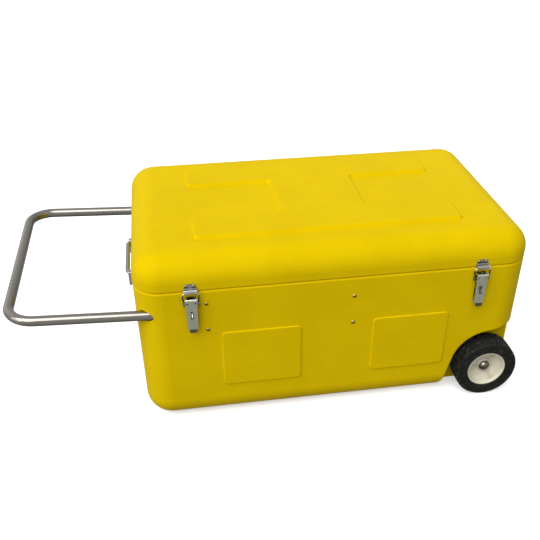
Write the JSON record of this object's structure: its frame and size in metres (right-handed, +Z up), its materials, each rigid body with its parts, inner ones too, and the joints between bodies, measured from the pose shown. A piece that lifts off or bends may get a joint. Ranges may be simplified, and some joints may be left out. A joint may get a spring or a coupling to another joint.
{
  "type": "wheeled storage trunk",
  "caption": "Lidded moulded plastic trunk with hinged lid, over-centre front latches, a sliding bent-tube tow handle at one end and a pair of wheels in wells at the other.",
  "frame": {"origin": "on the floor under the middle of the moulded box", "axes": "+X towards the wheeled end, -Y towards the latched front, +Z up"},
  "size_m": [1.3387, 0.6686, 0.4915],
  "materials": {
    "yellow_plastic": "satin, faint mould texture",
    "guide_plastic": "matte",
    "black_plastic": "matte",
    "bright_steel": "bright",
    "chrome_cap": "polished",
    "stainless": "brushed",
    "stainless_tube": "satin polished",
    "latch_steel": "zinc bright",
    "seal_rubber": "matte",
    "tyre_rubber": "matte",
    "rim_plastic": "satin",
    "bush_nylon": "matte"
  },
  "bodies": {
    "tub_body": {"tub": "yellow_plastic", "handle_guides": "guide_plastic", "guide_bolts": "bright_steel", "axle": "stainless", "axle_sleeve": "stainless", "axle_flanges": "stainless", "flange_screws": "bright_steel", "axle_spacers": "stainless", "axle_caps": "chrome_cap", "latch_bases": "latch_steel", "latch_pins": "latch_steel", "base_rivets": "bright_steel", "hinge_leaves_lower": "stainless", "hinge_pins": "stainless", "hinge_screws_lower": "bright_steel", "grab_handle_left": "stainless", "grab_handle_right": "stainless", "grab_screws": "bright_steel"},
    "lid_body": {"lid": "yellow_plastic", "lid_seal": "seal_rubber", "latch_keepers": "latch_steel", "keeper_rivets": "bright_steel", "hinge_leaves_upper": "stainless", "hinge_screws_upper": "bright_steel"},
    "lever_left": {"latch_lever_left": "latch_steel", "link_pins_left": "latch_steel"},
    "bail_left": {"latch_bail_left": "latch_steel"},
    "lever_right": {"latch_lever_right": "latch_steel", "link_pins_right": "latch_steel"},
    "bail_right": {"latch_bail_right": "latch_steel"},
    "handle_body": {"tow_handle": "stainless_tube", "arm_stops": "black_plastic"},
    "wheel_front": {"tyre_front": "tyre_rubber", "rim_front": "rim_plastic", "hub_bush_front": "bush_nylon"},
    "wheel_back": {"tyre_back": "tyre_rubber", "rim_back": "rim_plastic", "hub_bush_back": "bush_nylon"}
  },
  "joints": [
    {"name": "lid_hinge", "type": "hinge", "parent": "tub_body", "child": "lid_body", "pos_m": [0, 0.3135, 0.4], "axis": [-1, 0, 0], "range_deg": [0, 100]},
    {"name": "latch_left", "type": "hinge", "parent": "tub_body", "child": "lever_left", "pos_m": [-0.364, -0.317, 0.383], "axis": [-1, 0, 0], "range_deg": [0, 120]},
    {"name": "latch_bail_left", "type": "hinge", "parent": "lever_left", "child": "bail_left", "pos_m": [-0.364, -0.315, 0.372], "axis": [-1, 0, 0], "range_deg": [-144, 0]},
    {"name": "latch_right", "type": "hinge", "parent": "tub_body", "child": "lever_right", "pos_m": [0.364, -0.317, 0.383], "axis": [-1, 0, 0], "range_deg": [0, 120]},
    {"name": "latch_bail_right", "type": "hinge", "parent": "lever_right", "child": "bail_right", "pos_m": [0.364, -0.315, 0.372], "axis": [-1, 0, 0], "range_deg": [-144, 0]},
    {"name": "handle_slide", "type": "slide", "parent": "tub_body", "child": "handle_body", "axis": [0.9989, 0, -0.0468], "range_m": [0, 0.25]},
    {"name": "wheel_front_spin", "type": "hinge", "parent": "tub_body", "child": "wheel_front", "pos_m": [0.4182, -0.3021, 0.085], "axis": [0, 1, 0], "continuous": true},
    {"name": "wheel_back_spin", "type": "hinge", "parent": "tub_body", "child": "wheel_back", "pos_m": [0.4182, 0.3021, 0.085], "axis": [0, 1, 0], "continuous": true}
  ],
  "couplings": [
    {"joint": "latch_bail_left", "follows": "latch_left", "ratio": -1.2},
    {"joint": "latch_bail_right", "follows": "latch_right", "ratio": -1.2}
  ]
}
